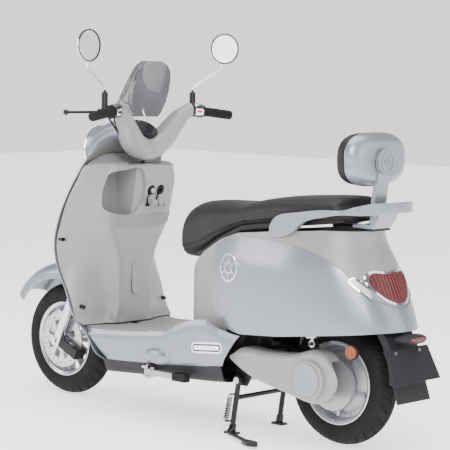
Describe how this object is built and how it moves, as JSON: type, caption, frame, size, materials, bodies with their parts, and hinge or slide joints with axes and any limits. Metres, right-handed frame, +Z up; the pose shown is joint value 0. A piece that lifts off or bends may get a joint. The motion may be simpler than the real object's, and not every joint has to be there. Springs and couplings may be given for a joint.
{
  "type": "moped scooter",
  "caption": "Step-through electric moped scooter with leg shield, flat floor, two-level seat, backrest, grab rail and centre stand.",
  "frame": {"origin": "on the ground, under the middle of the scooter's length and width", "axes": "+X in the direction of travel, +Y to the rider's left, +Z up"},
  "size_m": [1.8376, 0.782, 1.34],
  "materials": {
    "frame_black": "satin",
    "steel": "satin",
    "silver_paint": "gloss",
    "grey_plastic": "satin",
    "black_plastic": "satin",
    "charcoal_plastic": "satin",
    "chrome": "polished",
    "lens_plastic": "gloss",
    "alloy": "satin",
    "seat_foam": "matte",
    "fork_steel": "satin",
    "grip_rubber": "matte",
    "smoked_plastic": "gloss",
    "lever_black": "satin",
    "chrome_plastic": "polished",
    "tyre": "matte"
  },
  "bodies": {
    "root": {"main_frame": "frame_black", "rear_frame": "frame_black", "frame_fittings": "steel", "front_apron": "silver_paint", "inner_leg_shield": "grey_plastic", "lock_cluster": "black_plastic", "under_trays": "charcoal_plastic", "floorboard": "grey_plastic", "side_skirts": "silver_paint", "chrome_trim": "chrome", "rear_cowl": "grey_plastic", "side_panel_left": "silver_paint", "side_panel_right": "silver_paint", "lamp_lenses": "lens_plastic", "storage_bucket": "black_plastic", "battery_pack": "black_plastic", "motor_controller": "alloy", "grab_rail": "silver_paint", "backrest_frame": "silver_paint", "backrest_cushion": "seat_foam", "rear_fender": "charcoal_plastic", "number_plate": "charcoal_plastic"},
    "seat": {"seat_cushion": "seat_foam", "seat_pan": "black_plastic"},
    "steering": {"steering_stem": "fork_steel", "front_fender": "silver_paint", "handlebar": "steel", "handlebar_cover": "grey_plastic", "switchgear": "black_plastic", "left_grip": "grip_rubber", "control_cables": "grip_rubber", "headlight_shell": "silver_paint", "headlight_lens": "lens_plastic", "instrument_display": "smoked_plastic", "windshield": "smoked_plastic"},
    "throttle": {"throttle_grip": "grip_rubber"},
    "left_lever": {"left_brake_lever": "lever_black"},
    "right_lever": {"right_brake_lever": "lever_black"},
    "turn_switch": {"turn_signal_switch": "black_plastic"},
    "horn": {"horn_button": "black_plastic"},
    "light_switch": {"headlight_switch": "black_plastic"},
    "start": {"start_button": "black_plastic"},
    "mirror_left": {"left_mirror": "chrome_plastic"},
    "mirror_right": {"right_mirror": "chrome_plastic"},
    "key": {"key_barrel": "steel"},
    "hook": {"bag_hook": "grey_plastic"},
    "flap": {"port_flap": "grey_plastic"},
    "fork_lower": {"fork_lowers": "alloy"},
    "front_wheel": {"front_tyre": "tyre", "front_rim": "alloy"},
    "rear_arm": {"swingarm": "frame_black", "drive_cover": "grey_plastic"},
    "rear_wheel": {"rear_tyre": "tyre", "rear_rim": "alloy"},
    "shock_upper": {"shock_bodies": "steel", "shock_springs": "steel"},
    "shock_lower": {"shock_rods": "steel"},
    "stand": {"center_stand": "frame_black"},
    "peg_left": {"left_footpeg": "alloy"},
    "peg_right": {"right_footpeg": "alloy"}
  },
  "joints": [
    {"name": "steering_turn", "type": "hinge", "parent": "root", "child": "steering", "pos_m": [0.6578, 0, 0.1923], "axis": [-0.4226, 0, 0.9063], "range_deg": [-26, 26]},
    {"name": "fork_travel", "type": "slide", "parent": "steering", "child": "fork_lower", "axis": [-0.4226, 0, 0.9063], "range_m": [0, 0.06], "stiffness_N_per_m": 9000, "springref_m": -0.06},
    {"name": "front_wheel_spin", "type": "hinge", "parent": "fork_lower", "child": "front_wheel", "pos_m": [0.685, 0, 0.205], "axis": [0, 1, 0], "continuous": true},
    {"name": "swingarm_travel", "type": "hinge", "parent": "root", "child": "rear_arm", "pos_m": [-0.3, 0, 0.27], "axis": [0, 1, 0], "range_deg": [0, 10], "stiffness_Nm_per_rad": 900, "springref_deg": -4.58, "deforming": ["shock_springs"]},
    {"name": "rear_wheel_spin", "type": "hinge", "parent": "rear_arm", "child": "rear_wheel", "pos_m": [-0.615, 0, 0.213], "axis": [0, 1, 0], "continuous": true},
    {"name": "shock_swing", "type": "hinge", "parent": "root", "child": "shock_upper", "pos_m": [-0.545, 0, 0.6], "axis": [0, 1, 0], "range_deg": [-6, 6]},
    {"name": "shock_foot_swing", "type": "hinge", "parent": "rear_arm", "child": "shock_lower", "pos_m": [-0.56, 0, 0.34], "axis": [0, 1, 0], "range_deg": [-15, 15]},
    {"name": "seat_open", "type": "hinge", "parent": "root", "child": "seat", "pos_m": [-0.012, 0, 0.552], "axis": [0, 1, 0], "range_deg": [0, 65]},
    {"name": "throttle_twist", "type": "hinge", "parent": "steering", "child": "throttle", "pos_m": [0.274, -0.177, 1.065], "axis": [-0.2721, -0.9553, -0.1158], "range_deg": [0, 55], "stiffness_Nm_per_rad": 0.4, "springref_deg": -17.19},
    {"name": "left_lever_pull", "type": "hinge", "parent": "steering", "child": "left_lever", "pos_m": [0.312, 0.206, 1.057], "axis": [0, 0, 1], "range_deg": [0, 12], "stiffness_Nm_per_rad": 4, "springref_deg": -8.59},
    {"name": "right_lever_pull", "type": "hinge", "parent": "steering", "child": "right_lever", "pos_m": [0.312, -0.206, 1.057], "axis": [0, 0, -1], "range_deg": [0, 12], "stiffness_Nm_per_rad": 4, "springref_deg": -8.59},
    {"name": "turn_switch_slide", "type": "slide", "parent": "steering", "child": "turn_switch", "axis": [-0.2721, 0.9553, -0.1158], "range_m": [-0.003, 0.003], "stiffness_N_per_m": 200},
    {"name": "horn_press", "type": "slide", "parent": "steering", "child": "horn", "axis": [0.9617, 0.274, 0], "range_m": [0, 0.0015], "stiffness_N_per_m": 1500, "springref_m": -0.001},
    {"name": "headlight_switch_press", "type": "slide", "parent": "steering", "child": "light_switch", "axis": [0.9617, -0.274, 0], "range_m": [0, 0.0015], "stiffness_N_per_m": 1500, "springref_m": -0.001},
    {"name": "start_press", "type": "slide", "parent": "steering", "child": "start", "axis": [0.9617, -0.274, 0], "range_m": [0, 0.0015], "stiffness_N_per_m": 1500, "springref_m": -0.001},
    {"name": "left_mirror_turn", "type": "hinge", "parent": "steering", "child": "mirror_left", "pos_m": [0.266, 0.335, 1.226], "axis": [0, 0, 1], "range_deg": [-12, 12]},
    {"name": "right_mirror_turn", "type": "hinge", "parent": "steering", "child": "mirror_right", "pos_m": [0.266, -0.335, 1.226], "axis": [0, 0, 1], "range_deg": [-12, 12]},
    {"name": "key_turn", "type": "hinge", "parent": "root", "child": "key", "pos_m": [0.326, -0.04, 0.775], "axis": [1, 0, 0], "range_deg": [0, 90]},
    {"name": "bag_hook_fold", "type": "hinge", "parent": "root", "child": "hook", "pos_m": [0.3205, -0.04, 0.724], "axis": [0, -1, 0], "range_deg": [0, 60], "stiffness_Nm_per_rad": 0.06, "springref_deg": -22.92},
    {"name": "port_flap_fold", "type": "hinge", "parent": "root", "child": "flap", "pos_m": [0.3205, -0.086, 0.724], "axis": [0, -1, 0], "range_deg": [0, 60], "stiffness_Nm_per_rad": 0.06, "springref_deg": -22.92},
    {"name": "stand_fold", "type": "hinge", "parent": "root", "child": "stand", "pos_m": [-0.264, 0, 0.185], "axis": [0, 1, 0], "range_deg": [0, 66]},
    {"name": "left_peg_fold", "type": "hinge", "parent": "root", "child": "peg_left", "pos_m": [0.09, 0.198, 0.177], "axis": [0, 0, -1], "range_deg": [0, 75]},
    {"name": "right_peg_fold", "type": "hinge", "parent": "root", "child": "peg_right", "pos_m": [0.09, -0.198, 0.177], "axis": [0, 0, 1], "range_deg": [0, 75]}
  ],
  "couplings": [
    {"joint": "shock_swing", "follows": "swingarm_travel", "ratio": -0.36},
    {"joint": "shock_foot_swing", "follows": "swingarm_travel", "ratio": -1.36}
  ]
}
